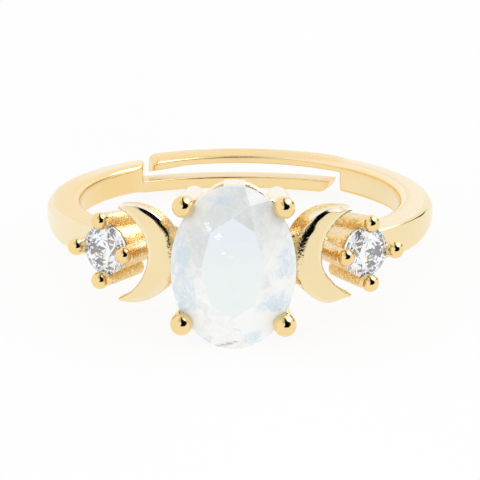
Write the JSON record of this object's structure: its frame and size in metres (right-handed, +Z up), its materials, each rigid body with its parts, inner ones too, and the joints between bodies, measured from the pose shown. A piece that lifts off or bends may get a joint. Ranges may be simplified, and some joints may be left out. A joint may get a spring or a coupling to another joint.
{
  "type": "moonstone ring",
  "caption": "Adjustable finger ring with an oval faceted moonstone in ball prongs between crescents, round clear side stones, and overlapping band ends.",
  "frame": {"origin": "centre of the ring's box, at the level of the surface it lies on", "axes": "+Z up from that surface, +Y from the moonstone towards the back of the band, +X to the right as seen from in front of the moonstone; the finger hole's axis leans 7 degrees from +Z towards +Y"},
  "size_m": [0.0198, 0.0233, 0.0079],
  "materials": {
    "gold": "polished yellow gold plate, with satin side faces",
    "moonstone": "polished, milky translucent with a blue sheen",
    "clear_stone": "polished, clear, brilliant cut"
  },
  "bodies": {
    "root": {"band_and_settings": "gold", "moonstone": "moonstone", "side_stone_left": "clear_stone", "side_stone_right": "clear_stone"}
  },
  "joints": []
}
